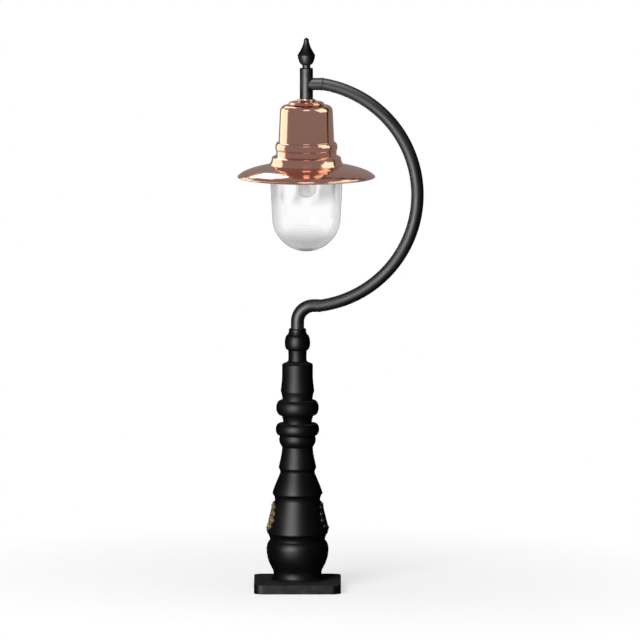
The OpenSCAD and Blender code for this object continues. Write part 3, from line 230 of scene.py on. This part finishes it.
def gilt(name):
    """Gold paint with dark paint left in the hollows."""
    s = Shader(name)
    hollow = s.spread(pointiness(s), *HOLLOW, 1.0, 0.0)
    patches = s.spread(s.noise(70.0, detail=5), 0.42, 0.68, 0.0, 0.8)
    s.set(Base_Color=s.mix(s.larger(hollow, patches), GOLD_PAINT, DARK_HOLLOW), Metallic=0.8)
    s.set(Roughness=s.spread(s.noise(160.0), *NOISE, 0.26, 0.48))
    s.set(Normal=s.bump(s.noise(500.0, detail=3), 0.0002, 0.5))
    return s.material


def bowl_painted_reflection(s, facing, low, high):
    """Painted reflection: grey that is thickest above high and runs in streaks there, and a grey tint
    below low.
    """
    height = s.height_of(s.position)
    patches = s.spread(s.noise(13.0, detail=3, stretch=(1.0, 1.0, 0.3)), 0.36, 0.6, 0.6, 1.0)
    # Painted reflection: a grey band near the top of the bowl
    painted_grey = s.times(s.spread(height, high, high + 0.08, 0.5, 1.0), patches)
    painted_grey = s.times(painted_grey, s.spread(facing, 0.26, 0.55, 0.0, 0.9))
    runs = s.noise(17.0, detail=1, stretch=(1.0, 1.0, 0.35), shift=STREAKS)
    streaks = s.times(s.spread(runs, 0.52, 0.6, 0.0, 0.55), s.spread(height, high + 0.015, high + 0.05))
    # Painted reflection: a grey tint at the bottom of the bowl
    pool = s.spread(height, low, low - 0.02, 0.0, 0.38)
    return s.larger(s.larger(painted_grey, streaks), pool)


def glass(name, tint, edge, wave, clear_band=None):
    """Clear glass whose colour is darkened where it is seen at a slant, a painted reflection of dark
    surroundings.
    """
    s = Shader(name)
    facing = s.add("ShaderNodeLayerWeight").outputs["Facing"]
    # Painted reflection: the colour darkens where the glass is seen at a slant
    dark = s.spread(facing, *SLANT)
    # On the bowl, the painted reflection greys are added to the slant darkening
    if clear_band:
        dark = s.larger(dark, bowl_painted_reflection(s, facing, *clear_band))
    s.set(Base_Color=s.mix(dark, tint, edge))
    s.bsdf.inputs["Transmission Weight"].default_value = 1.0
    s.bsdf.inputs["IOR"].default_value = GLASS_IOR
    s.set(Roughness=s.spread(s.noise(5.0), 0.4, 0.8, 0.0, 0.03))
    s.set(Normal=s.bump(s.noise(11.0, detail=2), wave, 0.25))
    return s.material


def metal(name, bright, dull, smooth, rough):
    """Bare or plated metal, with dull clouds."""
    s = Shader(name)
    clouds = s.spread(s.noise(40.0, detail=5), 0.45, 0.75, 0.0, 0.7)
    s.set(Base_Color=s.mix(clouds, bright, dull), Metallic=1.0)
    s.set(Roughness=s.spread(s.noise(180.0), *NOISE, smooth, rough))
    s.set(Normal=s.bump(s.noise(540.0, detail=2), 0.0001, 0.3))
    return s.material


def moulded(name, colour, shade, roughness, coat=0.0):
    """Plastic, rubber or glazed porcelain."""
    s = Shader(name)
    clouds = s.spread(s.noise(22.0, detail=5), 0.4, 0.75, 0.0, 0.5)
    s.set(Base_Color=s.mix(clouds, colour, shade))
    s.set(Roughness=s.spread(s.noise(90.0, detail=3), *NOISE, roughness - 0.05, roughness + 0.06))
    s.set(Normal=s.bump(s.noise(300.0, detail=3), 0.0001, 0.3))
    s.bsdf.inputs["Coat Weight"].default_value = coat
    return s.material


# For each material slot, what makes its finish and with what
FINISHES = {
    "black_casting": (black_paint, 900.0, 0.00022, 0.43, 0.43),
    "black_tube": (black_paint, 1600.0, 0.0001, 0.48, 1.0),
    "gilt": (gilt,),
    "copper": (copper,),
    "cast_alloy": (metal, (0.45, 0.45, 0.44), (0.22, 0.21, 0.2), 0.35, 0.55),
    # For both glasses the second colour is the painted reflection that slanting views darken to
    "clear_glass": (glass, (1.0, 1.0, 1.0), (0.3, 0.3, 0.305), 0.0012, CLEAR_BAND),
    "bulb_glass": (glass, (0.9, 0.9, 0.9), (0.25, 0.25, 0.25), 0.0002),
    "nickel": (metal, (0.66, 0.62, 0.55), (0.4, 0.36, 0.3), 0.2, 0.36),
    "rubber": (moulded, (0.025, 0.025, 0.025), (0.05, 0.05, 0.048), 0.7),
    "flex": (moulded, (0.05, 0.05, 0.052), (0.08, 0.08, 0.08), 0.55),
    "block_plastic": (moulded, (0.75, 0.72, 0.62), (0.5, 0.46, 0.38), 0.5),
    "black_plastic": (moulded, (0.02, 0.02, 0.02), (0.04, 0.04, 0.04), 0.4),
    "porcelain": (moulded, (0.82, 0.8, 0.75), (0.6, 0.57, 0.5), 0.22, 0.8),
    "brass": (metal, (0.7, 0.5, 0.2), (0.34, 0.22, 0.09), 0.2, 0.4),
    "zinc_steel": (metal, (0.55, 0.55, 0.54), (0.3, 0.3, 0.28), 0.28, 0.45),
}
GLASS = ("clear_glass", "bulb_glass")
POLISHED = ("copper",) + GLASS
PAINTED = ("black_casting", "black_tube")

materials = {slot: make(slot, *values) for slot, (make, *values) in FINISHES.items()}
for part in subparts:
    obj = nodes[part["node"]]
    obj.data.materials.clear()
    obj.data.materials.append(materials[part["material_slot"]])


# Surroundings

WHITE = (1.0, 1.0, 1.0)
# What the world shows to the eye, to diffuse light and to reflections
BACKDROP = WHITE
AMBIENT = (0.25, 0.255, 0.26)
ROOM = (0.014, 0.014, 0.015)
# What all but the painted pieces reflect, and how far off it is
DOME = (0.285, 0.277, 0.273)
DOME_RADIUS = 7.0
FLOOR = (0.96, 0.96, 0.96)
FLOOR_RADIUS = 2.4
# Distances from the axis between which the floor fades, and how clear it is at the first
FLOOR_FADE = (0.1, 1.3)
FLOOR_CLARITY = 0.6


def world_light(tree, colour):
    node = tree.nodes.new("ShaderNodeBackground")
    node.inputs["Color"].default_value = (*colour, 1)
    return node.outputs["Background"]


def world_choice(tree, factor, a, b):
    """Shader a where factor is 0 and b where it is 1."""
    node = tree.nodes.new("ShaderNodeMixShader")
    for socket, source in zip(node.inputs, (factor, a, b)):
        tree.links.new(source, socket)
    return node.outputs["Shader"]


def make_world():
    """A white backdrop for the eye, a dark room for reflections and soft light for the rest."""
    world = bpy.data.worlds.new("studio")
    bpy.context.scene.world = world
    world.use_nodes = True
    tree = world.node_tree
    tree.nodes.clear()
    path = tree.nodes.new("ShaderNodeLightPath")
    seen = tree.nodes.new("ShaderNodeMath")
    seen.operation = "MAXIMUM"
    tree.links.new(path.outputs["Is Camera Ray"], seen.inputs[0])
    tree.links.new(path.outputs["Is Transmission Ray"], seen.inputs[1])
    ambient, room, backdrop = [world_light(tree, colour) for colour in (AMBIENT, ROOM, BACKDROP)]
    unseen = world_choice(tree, path.outputs["Is Glossy Ray"], ambient, room)
    surface = world_choice(tree, seen.outputs["Value"], unseen, backdrop)
    tree.links.new(surface, tree.nodes.new("ShaderNodeOutputWorld").inputs["Surface"])


def make_floor():
    """A pale floor that keeps the lantern's shadow and fades into the backdrop."""
    bpy.ops.mesh.primitive_circle_add(vertices=96, radius=FLOOR_RADIUS, fill_type="NGON")
    floor = bpy.context.object
    floor.name = "floor"
    s = Shader("floor")
    s.bsdf.inputs["Base Color"].default_value = (*FLOOR, 1)
    s.bsdf.inputs["Roughness"].default_value = 0.9
    s.bsdf.inputs["Specular IOR Level"].default_value = 0.0
    clear = s.add("ShaderNodeBsdfTransparent")
    distance = s.add("ShaderNodeVectorMath", operation="LENGTH")
    s.link(s.position, distance.inputs[0])
    mix = s.add("ShaderNodeMixShader")
    s.link(s.spread(distance.outputs["Value"], *FLOOR_FADE, FLOOR_CLARITY, 1.0), mix.inputs["Fac"])
    s.link(s.bsdf.outputs["BSDF"], mix.inputs[1])
    s.link(clear.outputs["BSDF"], mix.inputs[2])
    s.link(mix.outputs["Shader"], s.tree.nodes["Material Output"].inputs["Surface"])
    floor.data.materials.append(s.material)
    floor.visible_glossy = False


def keep_off(light, slots, more=()):
    """Keeps a light off the pieces with the finishes in slots, and off the nodes in more."""
    unlit = bpy.data.collections.new("unlit_by_" + light.name)
    for part in subparts:
        if part["material_slot"] in slots or part["node"] in more:
            unlit.objects.link(nodes[part["node"]])
    light.light_linking.receiver_collection = unlit
    for entry in unlit.collection_objects:
        entry.light_linking.link_state = "EXCLUDE"


def make_dome():
    """The studio all round, as all but the painted pieces reflect it."""
    bpy.ops.mesh.primitive_uv_sphere_add(segments=48, ring_count=24, radius=DOME_RADIUS)
    dome = bpy.context.object
    dome.name = "dome"
    material = bpy.data.materials.new("dome")
    material.use_nodes = True
    material.cycles.emission_sampling = "NONE"
    tree = material.node_tree
    glow = tree.nodes.new("ShaderNodeEmission")
    glow.inputs["Color"].default_value = (*DOME, 1)
    tree.links.new(glow.outputs["Emission"], tree.nodes["Material Output"].inputs["Surface"])
    dome.data.materials.append(material)
    for ray in ("camera", "diffuse", "transmission", "volume_scatter", "shadow"):
        setattr(dome, "visible_" + ray, False)
    keep_off(dome, PAINTED)


def area_lamp(name, place, target, width, height, watts, colour=WHITE):
    """A rectangular lamp that the camera doesn't see."""
    data = bpy.data.lights.new(name, "AREA")
    data.shape = "RECTANGLE"
    data.size = width
    data.size_y = height
    data.energy = watts
    data.color = colour
    lamp = bpy.data.objects.new(name, data)
    bpy.context.scene.collection.objects.link(lamp)
    lamp.location = place
    lamp.rotation_euler = (Vector(target) - Vector(place)).to_track_quat("-Z", "Y").to_euler()
    lamp.visible_camera = False
    return lamp


def make_sheens():
    """Softboxes for the gloss of the satin paint."""
    not_tube = tuple(slot for slot in FINISHES if slot != "black_tube")
    # Name, place, target, width, height and watts, and the finishes and nodes it is kept off
    sheens = (
        # In front
        ("sheen", (-1.25, -2.5, 1.05), (0, 0, 0.95), 1.9, 2.6, 115, POLISHED, ()),
        # Behind, and so low that no face seen from the front reflects it
        ("rear_sheen", (0, 3.0, -0.62), (0, 0, 0.5), 0.9, 1.15, 58, POLISHED, ()),
        # Overhead, for the upper side of the arm and the elbow
        ("top_sheen", (0.2, -0.75, 3.5), (0.2, 0, 1.45), 2.0, 1.8, 50, not_tube, ("finial", "drop_tube")),
    )
    for name, place, target, width, height, watts, slots, more in sheens:
        lamp = area_lamp(name, place, target, width, height, watts)
        lamp.visible_diffuse = False
        keep_off(lamp, slots, more)


def make_softboxes():
    """Softboxes aimed at the lamp head, which show in all that is neither painted nor glass."""
    head = (0.03, 0, 1.2)
    # Name, place, width, height, radiance and colour
    softboxes = (
        ("left_softbox", (-2.15, 1.05, 1.5), 2.5, 2.2, 1.95, (0.68, 0.86, 0.7)),
        ("rear_softbox", (-0.685, 1.644, 2.809), 0.77, 0.98, 3.2, WHITE),
        ("right_softbox", (1.977, -0.171, 2.611), 2.1, 2.2, 1.9, (0.68, 0.88, 0.7)),
        ("front_softbox", (0.03, -1.38, 3.17), 0.8, 0.8, 1.7, (1.0, 1.0, 0.9)),
    )
    for name, place, width, height, radiance, colour in softboxes:
        watts = math.pi * width * height * radiance
        lamp = area_lamp(name, place, head, width, height, watts, colour)
        lamp.visible_diffuse = False
        keep_off(lamp, PAINTED + GLASS)


make_world()
make_floor()
make_dome()
# Plain light on everything, with no glare
fill = area_lamp("fill", (-1.3, -2.6, 2.2), (0, 0, 0.9), 1.6, 1.6, 120, (1.0, 0.99, 0.98))
fill.visible_glossy = False
make_sheens()
make_softboxes()
